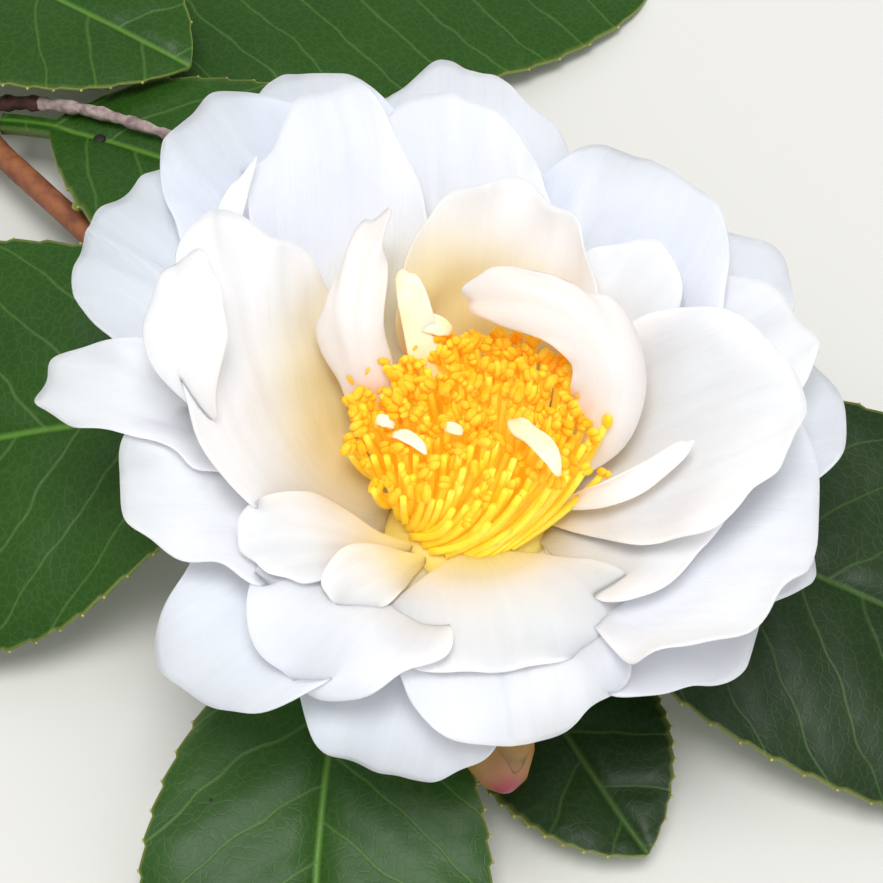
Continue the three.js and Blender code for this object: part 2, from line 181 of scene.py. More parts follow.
def slab(cols, rows, place, thick, relief=None):
    """A closed sheet round the surface place(a, b). Returns its vertices, faces
    and the (a, b, side) of each vertex; side is 1 on top and 0 underneath."""
    a, b = np.meshgrid(np.linspace(-1, 1, cols + 1), np.linspace(-1, 1, rows + 1))
    step = 1e-3
    ai = np.clip(a, -1 + step, 1 - step)
    bi = np.clip(b, -1 + step, 1 - step)
    across = place(ai + step, bi) - place(ai - step, bi)
    along = place(ai, bi + step) - place(ai, bi - step)
    normal = unit(np.cross(across, along))
    mid = place(a, b)
    half = thick(a, b)[..., None] / 2 * normal
    top, low = mid + half, mid - half
    if relief is not None:
        up, down = relief(a, b)
        top = top + up[..., None] * normal
        low = low + down[..., None] * normal
    verts = np.concatenate([top.reshape(-1, 3), low.reshape(-1, 3)])
    wide = cols + 1
    count = wide * (rows + 1)
    k = (np.arange(rows)[:, None] * wide + np.arange(cols)).ravel()
    faces = [np.stack([k, k + 1, k + wide + 1, k + wide], 1)]
    faces.append(np.stack([k, k + wide, k + wide + 1, k + 1], 1) + count)
    i = np.arange(cols)
    far = rows * wide + i
    faces.append(np.stack([i, count + i, count + i + 1, i + 1], 1))
    faces.append(np.stack([far, far + 1, count + far + 1, count + far], 1))
    left = np.arange(rows) * wide
    right = left + cols
    faces.append(np.stack([left, left + wide, count + left + wide, count + left], 1))
    faces.append(np.stack([right, count + right, count + right + wide, right + wide], 1))
    grid = np.stack([np.tile(a.ravel(), 2), np.tile(b.ravel(), 2), np.repeat([1.0, 0.0], count)], 1)
    return verts, np.concatenate(faces), grid


def gather(parts):
    """Joins (vertices, faces, ...) lists into one, with the rest stacked."""
    verts, faces, rest, shift = [], [], [], 0
    for part in parts:
        verts.append(part[0])
        faces.extend((np.asarray(f) + shift).tolist() for f in part[1])
        rest.append(part[2:])
        shift += len(part[0])
    return (np.concatenate(verts), faces, *[np.concatenate(column) for column in zip(*rest)])


def lathe(profile, sides):
    """A turned body with closed poles from radius and height pairs, foot first."""
    verts, faces = [[0.0, 0.0, profile[0][1]]], []
    turn = np.arange(sides) * 2 * math.pi / sides
    for r, h in profile:
        verts.extend(np.stack([r * np.cos(turn), r * np.sin(turn), np.full(sides, h)], 1).tolist())
    verts.append([0.0, 0.0, profile[-1][1]])
    for i in range(sides):
        j = (i + 1) % sides
        faces.append([0, 1 + j, 1 + i])
        for ring in range(len(profile) - 1):
            low, high = 1 + ring * sides, 1 + (ring + 1) * sides
            faces.append([low + i, low + j, high + j, high + i])
        last = 1 + (len(profile) - 1) * sides
        faces.append([last + i, last + j, len(verts) - 1])
    return np.array(verts), faces


def bezier(p, t):
    t = np.asarray(t, float)[..., None]
    s = 1 - t
    if len(p) == 3:
        return s * s * p[0] + 2 * s * t * p[1] + t * t * p[2]
    return s ** 3 * p[0] + 3 * s * s * t * p[1] + 3 * s * t * t * p[2] + t ** 3 * p[3]


def bezier_ahead(p, t):
    t = np.asarray(t, float)[..., None]
    s = 1 - t
    return unit(3 * s * s * (p[1] - p[0]) + 6 * s * t * (p[2] - p[1]) + 3 * t * t * (p[3] - p[2]))


def by_length(p):
    """Gives the curve's parameter at a share of its length, and its length."""
    t = np.linspace(0, 1, 201)
    runs = np.linalg.norm(np.diff(bezier(p, t), axis=0), axis=1)
    run = np.concatenate([[0], np.cumsum(runs)])
    return (lambda share: np.interp(np.clip(share, 0, 1) * run[-1], run, t)), run[-1]


def ripples(seed, count, low, high):
    """A smooth random field of two coordinates, about -1 to 1."""
    dice = np.random.default_rng(seed)
    turn = dice.uniform(0, 2 * math.pi, count)
    pitch = 2 * math.pi / dice.uniform(low, high, count)
    phase = dice.uniform(0, 2 * math.pi, count)

    def field(x, y):
        total = 0
        for k in range(count):
            total = total + np.sin(pitch[k] * (x * math.cos(turn[k]) + y * math.sin(turn[k])) + phase[k])
        return total / math.sqrt(count)
    return field


# ------------ materials
MATH = "ShaderNodeMath"
VECTOR = "ShaderNodeVectorMath"
SPLIT = "ShaderNodeSeparateXYZ"
JOIN = "ShaderNodeCombineXYZ"
NOISE = "ShaderNodeTexNoise"
MIX = "ShaderNodeMix"
RANGE = "ShaderNodeMapRange"


def bare_material(name):
    """A new material and the way to add nodes to it."""
    made = bpy.data.materials.new(name)
    made.use_nodes = True
    made.node_tree.nodes.clear()
    return made, partial(add, made.node_tree)


def coat(made, **look):
    """Ends a material in a Principled shader with these inputs."""
    shader = add(made.node_tree, "ShaderNodeBsdfPrincipled", **look)
    add(made.node_tree, "ShaderNodeOutputMaterial", Surface=shader)
    return made


def set_stops(ramp, stops):
    """Gives a colour ramp its stops, each a place and a colour."""
    while len(ramp.elements) < len(stops):
        ramp.elements.new(0.5)
    for element, (at, code) in zip(ramp.elements, stops):
        element.position = at
        element.color = tone(code)


# Fresh camellia petal: thin, soft and finely veined from foot to rim. Light
# sinks a little way in, so shade stays pale; the foot is warm cream. The tones
# run from the rim to the foot. The third is painted shade: the cream of the
# shaded heart.
def petal_material(name, *tones):
    made, node = bare_material(name)
    place = node(SPLIT, node("ShaderNodeUVMap", uv_map="surface")).outputs
    body = node("ShaderNodeValToRGB", node("ShaderNodeAttribute", attribute_name="warmth").outputs["Fac"])
    set_stops(body.color_ramp, list(zip((0.0, 0.3, 0.65, 1.0), tones)))
    # veins run from foot to rim about 0.5 mm apart
    lines = node(JOIN, node(MATH, "MULTIPLY", place[0], 60.0), node(MATH, "MULTIPLY", place[1], 3.0))
    veins = node(NOISE, lines, Scale=1.0, Detail=3.0, Roughness=0.6)
    shade = node(RANGE, veins, 0.3, 0.7, 0.965, 1.0)
    return coat(
        made, Base_Color=node(MIX, 1.0, body, shade, data_type="RGBA", blend_type="MULTIPLY"),
        Normal=node("ShaderNodeBump", Strength=0.35, Distance=0.0002, Height=veins),
        Roughness=0.5, IOR=1.4, Specular_IOR_Level=0.35,
        Subsurface_Weight=0.75, Subsurface_Radius=(1.0, 0.9, 0.8), Subsurface_Scale=0.003)


# Living tissue of one colour, with a soft mottle a few millimetres across. Glow
# stands for the light that thin stamens hand on to each other inside the tuft.
def tissue(name, light, dark, grain_mm, roughness, relief=0.00015, level=0.5, sink=0.0, glow=0.0):
    made, node = bare_material(name)
    where = node("ShaderNodeTexCoord").outputs["Object"]
    mottle = node(NOISE, where, Scale=1000 / grain_mm, Detail=3.0)
    colour = node(MIX, node(RANGE, mottle, 0.35, 0.65), tone(dark), tone(light), data_type="RGBA")
    return coat(
        made, Base_Color=colour, Emission_Color=colour, Emission_Strength=glow,
        Normal=node("ShaderNodeBump", Strength=0.5, Distance=relief, Height=mottle),
        Roughness=roughness, Specular_IOR_Level=level,
        Subsurface_Weight=sink, Subsurface_Radius=(1.0, 0.8, 0.3), Subsurface_Scale=0.0008)


# Camellia leaf: leathery and lightly waxed, with a pale sunken midrib, side veins
# that curve forward to the rim and a faint net between them; paler below.
def leaf_material(name, light, dark, vein_strength, midrib_tone):
    made, node = bare_material(name)
    where = node("ShaderNodeUVMap", uv_map="surface")
    part = node(SPLIT, where).outputs
    x = node(MATH, "MULTIPLY_ADD", part[0], UV_SPAN, -UV_SPAN / 2)
    y = node(MATH, "MULTIPLY", part[1], UV_SPAN)
    width = node(MATH, "ABSOLUTE", x)
    offset = node(MATH, "MULTIPLY", node(MATH, "GREATER_THAN", x, 0.0), VEIN_SPACING / 2)
    bend = node(MATH, "MULTIPLY", node(MATH, "MULTIPLY", width, width), VEIN_BEND)
    run = node(MATH, "SUBTRACT", y, node(MATH, "MULTIPLY_ADD", width, VEIN_SLANT, offset))
    run = node(MATH, "SUBTRACT", run, bend)
    wander = node(NOISE, where, Scale=14.0, Detail=1.0)
    run = node(MATH, "ADD", run, node(MATH, "MULTIPLY_ADD", wander, 3.0, -1.5))
    side_vein = node(RANGE, node(MATH, "PINGPONG", run, VEIN_SPACING / 2), 0.05, 0.32, 1.0, 0.0)
    midrib = node(RANGE, width, 0.1, 0.5, 0.85, 0.0)
    net = node("ShaderNodeTexVoronoi", where, Scale=95.0, feature="DISTANCE_TO_EDGE")
    mesh_line = node(RANGE, net, 0.0, 0.09, 1.0, 0.0)
    mottle = node(NOISE, where, Scale=9.0, Detail=4.0)
    colour = node(MIX, mottle, tone(dark), tone(light), data_type="RGBA")
    for share, code in (
            (node(MATH, "MULTIPLY", mesh_line, 0.1 * vein_strength), "#6f9a4a"),
            (node(MATH, "MULTIPLY", side_vein, 0.3 * vein_strength), "#6f9a4a"),
            (midrib, midrib_tone),
            (node("ShaderNodeAttribute", attribute_name="rim").outputs["Fac"], "#a3a653"),
            (node("ShaderNodeAttribute", attribute_name="below").outputs["Fac"], "#7d9a58")):
        colour = node(MIX, share, colour, tone(code), data_type="RGBA")
    sunk = node(MATH, "MULTIPLY", side_vein, -0.5)
    height = node(MATH, "MULTIPLY_ADD", mesh_line, -0.15, sunk)
    return coat(
        made, Base_Color=colour, Normal=node("ShaderNodeBump", Strength=0.4, Distance=0.0002, Height=height),
        Roughness=0.42, Specular_IOR_Level=0.2, Coat_Weight=0.04, Coat_Roughness=0.25)


# Silky bud scales: olive at the foot, orange, then tan, with a rose tip.
def bud_material():
    made, node = bare_material("silky bud scale, olive to rose")
    body = node("ShaderNodeValToRGB", node("ShaderNodeAttribute", attribute_name="tip").outputs["Fac"])
    set_stops(body.color_ramp, [
        (0.0, "#7c7a38"), (0.5, "#b5742f"), (0.76, "#b8672c"), (0.88, "#ad8546"), (0.95, "#a3734e"),
        (1.0, "#8f2f45")])
    return coat(made, Base_Color=body, Roughness=0.45, Subsurface_Weight=0.3, Subsurface_Scale=0.001)


# The outer tones are bluer and greyer than the inner ones, and the second ring's a little: painted cool
# shade on the lower, outer petals.
PETAL_COOL_SHADE = petal_material("camellia petal, outer, painted cool shade", "#e6eaf9", "#edeff8", "#f8efd6", "#f3dc84")
PETAL_SECOND = petal_material("camellia petal, second ring", "#f3f4fb", "#f8f6f4", "#fbeecb", "#f7de7c")
PETAL_INNER = petal_material("camellia petal, inner", "#fdfcfb", "#f8f1e6", "#f2dbb0", "#fbde78")
# The heart's tones are darker and creamier than the inner ring's: painted shade of the deep cup.
PETAL_HEART_SHADED = petal_material("camellia petal, heart, painted shade", "#f3f2f3", "#eee5d9", "#ead0a4", "#f8d86e")
FILAMENT = tissue("stamen filament", "#ffdf50", "#ffd02c", 4, 0.45, sink=0.7, glow=0.16)
ANTHER = tissue("ripe anther with pollen", "#ffc93a", "#ffab12", 1.5, 0.85, 0.0002, 0.25, 0.5, 0.14)
PETALOID = tissue("cream petaloid", "#fcf3da", "#f9e4ae", 5, 0.5, sink=0.3)
SEPAL_SKIN = tissue("silky bud scale, green-brown", "#98964e", "#74713a", 3, 0.6)
BARK = tissue("young camellia bark, smooth orange-brown", "#9a5c38", "#703e25", 2.2, 0.6, 0.0003)
DRY = tissue("dead grey twig wood", "#b5a29e", "#7d6a68", 1.2, 0.9, 0.0004)
# The twig's foot is dark red-brown as painted shade; the lit rest is grey wood.
TWIG_SHADE_BARK = tissue("twig bark in painted shade, dark red-brown", "#54302a", "#2e1814", 1.2, 0.85, 0.0004)
AXIL = tissue("young green bud", "#a3a84c", "#7d8a36", 1, 0.5)
BLEMISH = tissue("dead leaf tissue", "#241d16", "#14100c", 1, 0.7)
TOOTH_TIP = tissue("leaf tooth gland", "#b7b45c", "#948a3c", 1, 0.6)
LEAF_LIT = leaf_material("waxy camellia leaf", "#2a5012", "#1c3f0b", 0.7, "#56822e")
# The second leaf finish is a darker copy of the first: painted shade on the two leaves that lie under and
# beside the bloom.
LEAF_SHADED = leaf_material("waxy camellia leaf, painted shade", "#1c3610", "#12270a", 0.4, "#3c5a24")
BUD_SKIN = bud_material()


# ------------ petals
# How each petal is shaped unless its row says otherwise. root and base are the
# foot's distance out and its height, launch and end the slopes at foot and tip in
# degrees, and cup is how far the cross-section bends. swing turns the foot
# sideways. neck is the breadth at the foot as a share, and full is how far up the
# petal reaches its width. ruffle, crease, wrinkle and frill are heights of its
# relief, and uneven is how far its outline wanders, as a share. tint is its
# share of the cream that is painted shade in the heart, and halo how far the
# yellow fades out.
PETAL_PLAIN = {
    "root": 7.7, "base": -1.7, "launch": 20, "end": 0, "cup": 60, "swing": 0, "neck": 0.45, "full": 0.62,
    "ruffle": 0.6, "crease": 0.22, "wrinkle": 0.07, "frill": 0.45, "uneven": 0.02,
    "lobes": (), "pleats": (), "tint": 0.75, "halo": 9.5,
}


def ringed(turn, reach, height, width, **own):
    """A petal whose tip lies at a turn and a reach round the bloom and a height.
    A lobe is an angle round the petal, clockwise from its tip, a rise as a share
    and a spread. A pleat is a place across, a rise and a breadth."""
    return {**PETAL_PLAIN, "turn": turn, "reach": reach, "height": height, "width": width, **own}


def curled(width, line, facing, **own):
    """A petal with its midrib's four control points and the way that it faces."""
    return {**PETAL_PLAIN, "width": width, "line": line, "facing": facing, **own}


OUTER_PETALS = [
    ringed(-106, 27.2, -6, 21, launch=6, end=-50, cup=32),
    ringed(-30, 31, -0.8, 24, launch=9, end=-20, cup=40),
    ringed(-13, 33.8, 1, 18, launch=12, end=-12, cup=40, lobes=[(0, 0.08, 14)]),
    ringed(15, 37.8, 4, 28, launch=15, cup=50),
    ringed(43, 39.8, 6.5, 27, cup=50),
    ringed(91, 48, 9, 24, launch=22, cup=50),
    ringed(111, 49.5, 9, 22, launch=22, cup=50),
    ringed(122.5, 49.5, 10.5, 24, launch=24, cup=40, wrinkle=0.12, pleats=[(-7, 0.6, 0.9)]),
    ringed(140, 47.6, 7, 27, end=-5, cup=40, wrinkle=0.13, pleats=[(-3.5, 1.0, 0.9), (5, 0.5, 1.0)],
        lobes=[(-40, 0.05, 15)]),
    ringed(-146, 33, -1, 23, launch=3, end=-35, cup=45,
        lobes=[(58, -0.2, 28), (20, 0.05, 14), (-30, -0.05, 15)]),
]
SECOND_PETALS = [
    ringed(60, 39, 11, 30, launch=25, end=8, pleats=[(-6, 0.8, 1.6)], lobes=[(-78, -0.22, 30)]),
    ringed(93, 40.5, 14, 21, launch=30, end=10),
    ringed(-10, 33.5, 7, 40, launch=13, end=8, cup=80, frill=0.7),
    ringed(-78, 26, 0, 22, launch=14, end=-32, cup=40, frill=0.6, lobes=[(-62, 0.1, 14)]),
    ringed(-128, 25.8, 2.9, 22, root=6, base=-1, launch=9, end=-35, cup=45, frill=0.3, halo=12,
        lobes=[(-60, -0.08, 20)]),
    ringed(183, 33, 6.5, 23, launch=16, cup=42, end=-4, lobes=[(-62, -0.1, 20), (62, -0.1, 22)]),
    ringed(167, 41.8, 8, 15, launch=21, end=-12, cup=45,
        lobes=[(-16, 0.12, 14), (-66, -0.3, 26), (46, -0.06, 20)]),
]
THIRD_PETALS = [
    ringed(111, 39.5, 17.5, 19, launch=38, end=20, cup=75, swing=40,
        lobes=[(-62, 0.14, 12), (-88, -0.06, 14), (-25, 0.04, 14), (28, 0.1, 18)]),
    ringed(25, 36, 10.5, 23, end=20),
    ringed(48, 29, 12.5, 15.5, launch=38, end=25, cup=50, neck=0.3, full=0.9),
    curled(4, [(-10, 6, 0), (-20, 8, 5), (-26.5, 15, 15), (-21.3, 26.2, 18)], (-0.2, -0.4, 0.9), neck=0.3,
        full=0.7, frill=0.1, ruffle=0.2, lobes=[(0, 0.15, 14)]),
    curled(10.4, [(-5, -4.6, -0.4), (-10.8, -6.6, 2), (-16.2, -6.4, 8.2), (-20.8, -8.8, 6.6)],
        (0, -0.3, 0.95), cup=25, neck=0.3, full=0.85, frill=0.4, ruffle=0.3, halo=15,
        lobes=[(40, 0.06, 18)]),
    ringed(-6, 25.5, 8, 26, root=6.5, launch=13, end=25, frill=0.25, ruffle=0.3),
    ringed(-76, 20, 2.4, 25, root=5.4, base=0.5, launch=8, end=-8, cup=28, frill=0.5, ruffle=0.4, neck=0.6),
    curled(7.6, [(-3.8, -5.8, -0.4), (-6.8, -8.4, 2), (-9.6, -9.8, 5.6), (-12.2, -12.6, 3.8)],
        (0, -0.3, 0.95), cup=25, neck=0.3, full=0.85, frill=0.3, ruffle=0.3, halo=15,
        lobes=[(30, 0.08, 16)]),
]
HEART_PETALS = [
    curled(21, [(-6.5, 0.4, -0.5), (-17, -3, 3), (-21, 7, 14.5), (-21.5, 20.5, 19)], (0.5, -0.2, 0.8),
        cup=34, frill=0.7, neck=0.6, pleats=[(-3.5, 0.8, 1.3), (3.5, 0.5, 1.6)],
        lobes=[(-14, 0.05, 12), (14, -0.05, 10), (34, 0.05, 14)]),
    curled(8, [(-23.2, 0.8, 14.2), (-26.2, 2.0, 19.4), (-26.4, 7.8, 22.4), (-25.4, 14.4, 21.6)],
        (-0.25, -0.4, 0.9), neck=0.35, full=0.5, cup=-40, frill=0.3, ruffle=0.3, tint=0.2,
        lobes=[(0, 0.08, 16)]),
    ringed(8, 32, 13, 27, root=6.5, launch=30, end=25, cup=90, frill=0.3),
    curled(6.2, [(-3, 5, 0), (-8.4, 4, 6), (-13.6, 8.6, 20), (-8.4, 19.2, 20)], (-0.3, -0.45, 0.85),
        cup=-50, frill=0.6, ruffle=0.5, neck=0.5, full=0.5, uneven=0.05, tint=0.15,
        pleats=[(-1.4, 0.6, 0.9), (1.7, 0.4, 0.7)],
        lobes=[(-80, 0.34, 10), (58, 0.16, 16), (-30, 0.06, 14)]),
    ringed(78, 24.5, 20, 24, launch=50, end=45, cup=110, frill=0.6),
    curled(7, [(8, 2, 0), (16.2, 2, 12), (16.2, 10.6, 21.6), (0.6, 11.4, 19.2)], (0, -0.4, 0.9), cup=-45,
        frill=0.7, ruffle=0.5, full=0.45, pleats=[(0.8, 0.6, 0.8)], uneven=0.05, tint=0.3,
        lobes=[(4, 0.1, 22), (84, 0.22, 12), (50, -0.06, 12), (-40, 0.14, 26), (-88, -0.12, 12)]),
    curled(2.6, [(8, 0, 0), (12, -4, 7), (17, -3, 10), (21.3, 1.2, 10)], (0, -0.5, 0.85), cup=50, frill=0.2,
        ruffle=0.2),
]


def midrib(own):
    """The four control points of a petal's midrib, foot first."""
    if "line" in own:
        return np.array(own["line"], float)
    start = own["turn"] + own["swing"]
    tip = np.array([*(own["reach"] * heading(own["turn"], 0)[:2]), own["height"]])
    foot = np.array([*(heading(start, 0) * own["root"])[:2], own["base"]])
    pull = PETAL_ARM * np.linalg.norm(tip - foot)
    after = foot + heading(start, own["launch"]) * pull
    before = tip - heading(own["turn"], own["end"]) * pull
    return [foot, after, before, tip]


def petal_surface(own, seed):
    width, line = own["width"], midrib(own)
    at_share, length = by_length(line)
    crinkle = ripples(seed, 7, 5.0, 13.0)
    frill = ripples(seed + 500, 6, 4.5, 11.0)
    wrinkle = ripples(seed + 700, 6, 1.8, 3.6)
    uneven = np.random.default_rng(seed + 900).uniform(0, 2 * math.pi, 11)

    def outline(round_):
        """The rim's distance from the middle, as a share of the plain oval's."""
        size = 1.0
        for k, phase in enumerate(uneven):
            size = size + own["uneven"] / (1 + 0.25 * k) * np.cos((k + 2) * round_ + phase)
        for at, rise, spread in own["lobes"]:
            gap = (round_ - math.radians(at) + math.pi) % (2 * math.pi) - math.pi
            size = size + rise * np.exp(-(gap / math.radians(spread)) ** 2)
        return size

    def place(a, b):
        across = a * np.sqrt(1 - b * b / 2)
        forth = b * np.sqrt(1 - a * a / 2)
        rim = np.hypot(across, forth)
        round_ = np.arctan2(across, forth)
        size = 1 + (outline(round_) - 1) * rim ** 2 * ease((forth + 0.95) / 0.6)
        across, along = across * size, (forth * size + 1) / 2
        neck = own["neck"] + (1 - own["neck"]) * ease(along / own["full"])
        x, y = across * width / 2 * neck, along * length
        away = ease(along * 1.6)
        lift = own["ruffle"] * rim ** 3 * np.sin(PETAL_WAVES * round_)
        lift = lift + own["crease"] * crinkle(x, y) * away
        fine = wrinkle(x / np.maximum(neck, 0.2), 0.12 * y)
        lift = lift + own["wrinkle"] * fine * away * (0.3 + 0.7 * along)
        edge_lift = frill(np.sin(round_) * width / 2, np.cos(round_) * length / 2)
        lift = lift + own["frill"] * edge_lift * rim ** 5 * away
        for at, rise, breadth in own["pleats"]:
            lift = lift + rise * np.exp(-((x - at * along) / breadth) ** 2) * ease((along - 0.35) / 0.4)
        u = at_share(y / length)
        ahead = bezier_ahead(line, u)
        if "facing" in own:
            side = unit(np.cross(ahead, np.array(own["facing"], float)))
        else:
            right = np.array([math.sin(math.radians(own["turn"])), -math.cos(math.radians(own["turn"])), 0])
            side = unit(np.stack([ahead[..., 1], -ahead[..., 0], np.zeros_like(u)], -1))
            side = side * np.where((side @ right) < 0, -1, 1)[..., None]
        face = np.cross(side, ahead)
        bend = math.radians(own["cup"]) / width * ease(along / 0.35)
        bend = np.where(np.abs(bend) < 1e-4, 1e-4, bend)
        arc = x * bend
        point = bezier(line, u) + ahead * (y - np.clip(y, 0, length))[..., None]
        point = point + side * (np.sin(arc) / bend - lift * np.sin(arc))[..., None]
        return point + face * ((1 - np.cos(arc)) / bend + lift * np.cos(arc))[..., None]
    return place, length


def petal(own, seed, thick=PETAL_THICK, cols=PETAL_COLS, rows=PETAL_ROWS):
    """Its vertices, faces, UVs and the share of yellow at the foot and of cream, which is painted shade in
    the heart.
    """
    place, length = petal_surface(own, seed)

    def depth(a, b):
        return thick * lerp(1.0, RIM_SHARE, np.maximum(a * a, b * b))
    verts, faces, grid = slab(cols, rows, place, depth)
    a, b = grid[:, 0], grid[:, 1]
    across = a * np.sqrt(1 - b * b / 2)
    along = (b * np.sqrt(1 - a * a / 2) + 1) / 2
    uv = np.stack([0.5 + across * own["width"] / UV_SPAN, along * length / PETAL_UV_RUN], 1)
    # yellow round the tuft's foot; the cream further into the heart is painted shade
    yellow = 1 - ease((np.linalg.norm(verts - TUFT_FOOT, axis=1) - YELLOW_FROM) / own["halo"])
    cream = 1 - ease((np.linalg.norm(verts - HEART, axis=1) - SHADE_CREAM_FROM) / SHADE_CREAM_FADE)
    return verts, faces, uv, np.maximum(yellow, own["tint"] * cream)


def petal_piece(name, rows, seed, skin):
    verts, faces, uv, warmth = gather([petal(own, seed + 10 * i) for i, own in enumerate(rows)])
    settle(piece(name, verts, faces, skin, uv, {"warmth": warmth}), "petal", "bloom")


petal_piece("petals_outer", OUTER_PETALS, 100, PETAL_COOL_SHADE)
# The single back petals on the right and left take the outer, cooler tones as painted shade, so they sit
# darker than their rings.
petal_piece("petal_back_right", SECOND_PETALS[:1], 300, PETAL_COOL_SHADE)
petal_piece("petals_second", SECOND_PETALS[1:], 310, PETAL_SECOND)
petal_piece("petal_back_left", THIRD_PETALS[:1], 500, PETAL_COOL_SHADE)
petal_piece("petals_third", THIRD_PETALS[1:], 510, PETAL_INNER)
petal_piece("petals_heart", HEART_PETALS, 700, PETAL_HEART_SHADED)

receptacle = lathe([
    (0.01, -RECEPTACLE_DEPTH), (6, -RECEPTACLE_DEPTH), (8.6, -3.8), (RECEPTACLE_RADIUS, -2.8),
    (8, -0.9), (6.6, 0), (0.01, 0.5)], 48)
settle(
    piece("receptacle", *receptacle, PETAL_INNER, receptacle[0][:, :2] / PETAL_UV_RUN,
          {"warmth": np.ones(len(receptacle[0]))}), "petal", "bloom")

# ------------ calyx
SEPALS = 5
calyx_parts = [lathe([
    (0.01, CALYX_FOOT), (2.2, CALYX_FOOT), (4.1, -10.6), (5.2, -9.2), (5.9, CALYX_TOP - 0.6),
    (5.2, CALYX_TOP), (0.01, CALYX_TOP)], 32)]
for i in range(SEPALS):
    sepal = ringed(
        20 + 360 / SEPALS * i, 12.6, -3.9, 12, root=3.5, base=-9.4, launch=15, end=40, ruffle=0, crease=0.05)
    calyx_parts.append(petal(sepal, 40 + i, 0.7, 16, 14)[:2])
settle(piece("calyx_scales", *gather(calyx_parts), SEPAL_SKIN), "calyx", "calyx")


# ------------ stamens
ATTRIBUTE = "GeometryNodeInputNamedAttribute"
RANDOM = "FunctionNodeRandomValue"


def new_tree(name, sizes, *meshes):
    """A geometry tree with an input for each mesh and size, those inputs, and
    the way to add nodes to it."""
    tree = bpy.data.node_groups.new(name, "GeometryNodeTree")
    tree.interface.new_socket("Geometry", in_out="OUTPUT", socket_type="NodeSocketGeometry")
    for key in meshes:
        tree.interface.new_socket(key, in_out="INPUT", socket_type="NodeSocketGeometry")
    for key, value in sizes.items():
        kind = "Int" if isinstance(value, int) else "Vector" if isinstance(value, tuple) else "Float"
        tree.interface.new_socket(key, in_out="INPUT", socket_type="NodeSocket" + kind)
    return tree, add(tree, "NodeGroupInput").outputs, partial(add, tree)


def finish_tree(tree, geometry, skin):
    real = add(tree, "GeometryNodeRealizeInstances", geometry)
    add(tree, "NodeGroupOutput", add(tree, "GeometryNodeSetMaterial", real, Material=skin))


def grown(name, tree, sizes, mesh=None):
    """Runs a node tree with its sizes and returns the result as a plain mesh object."""
    host = hang(name + "_host", mesh or bpy.data.meshes.new(name + "_host"))
    grow = host.modifiers.new("grow", "NODES")
    grow.node_group = tree
    for item in tree.interface.items_tree:
        if item.in_out == "INPUT" and item.name in sizes:
            grow[item.identifier] = sizes[item.name]
    found = host.evaluated_get(bpy.context.evaluated_depsgraph_get())
    result = bpy.data.meshes.new_from_object(found)
    bpy.data.objects.remove(host)
    result.shade_smooth()
    return hang(name, result)


TUFT = {
    "Count": 330, "Seed": 5, "Base Radius": 7.3, "Base Shift": (0.3, 1.0, 0.35),
    "Top Radius": (12.3, 8.8, 0.0), "Lean": (0.7, 3.4, 0.0), "Height": 10.4, "Slope": 0.26, "Fall": 2.2,
    "Thickness": 0.42, "Twist": 0.62, "Ripe Share": 0.55,
}


def tuft_points(given, node):
    """One point for each stamen, with its filament's foot, middle and top in
    millimetres as attributes."""
    points = node("GeometryNodeMeshLine", Count=given["Count"], Offset=(0.0, 0.0, 0.0))
    index = node("GeometryNodeInputIndex")
    share = node(MATH, "DIVIDE", node(MATH, "ADD", index, 0.5), given["Count"])
    ring = node(MATH, "SQRT", share)
    turn = node(MATH, "MULTIPLY", index, math.radians(GOLDEN_TURN))
    late = node(MATH, "ADD", turn, given["Twist"])
    out, top_out = (
        node(JOIN, node(MATH, "COSINE", angle), node(MATH, "SINE", angle))
        for angle in (turn, late))
    jitter = node(
        RANDOM, (-1.0, -1.0, -1.6), (1.0, 1.0, 1.4), Seed=given["Seed"], data_type="FLOAT_VECTOR")
    foot = node(VECTOR, "SCALE", out, node(MATH, "MULTIPLY", ring, given["Base Radius"]))
    foot = node(VECTOR, "ADD", foot, given["Base Shift"])
    top = node(VECTOR, "SCALE", top_out, ring)
    top = node(VECTOR, "MULTIPLY", top, given["Top Radius"])
    top = node(VECTOR, "ADD", top, given["Lean"])
    # the tops slope up to the back and fall away to the outside
    back = node(SPLIT, top).outputs[1]
    fall = node(MATH, "MULTIPLY", node(MATH, "MULTIPLY", share, share), given["Fall"])
    rise = node(MATH, "MULTIPLY_ADD", back, given["Slope"], given["Height"])
    rise = node(MATH, "SUBTRACT", rise, fall)
    top = node(VECTOR, "ADD", top, node(JOIN, 0.0, 0.0, rise))
    top = node(VECTOR, "ADD", top, jitter)
    middle = node(VECTOR, "ADD", node(VECTOR, "SCALE", foot, 0.3), node(VECTOR, "SCALE", top, 0.7))
    middle = node(VECTOR, "MULTIPLY", middle, (1.0, 1.0, 0.0))
    knee = node(JOIN, 0.0, 0.0, node(MATH, "MULTIPLY", rise, 0.3))
    middle = node(VECTOR, "ADD", middle, knee)
    for name, value in (("foot", foot), ("middle", middle), ("top", top)):
        points = node(
            "GeometryNodeStoreNamedAttribute", points, Name=name, Value=value,
            data_type="FLOAT_VECTOR", domain="POINT")
    return points


def carried(node, geometry, place):
    """Moves points to their places in millimetres, in the part's frame."""
    shifted = node(VECTOR, "ADD", place, tuple(BLOOM_AT))
    return node("GeometryNodeSetPosition", geometry, Position=node(VECTOR, "SCALE", shifted, MM))


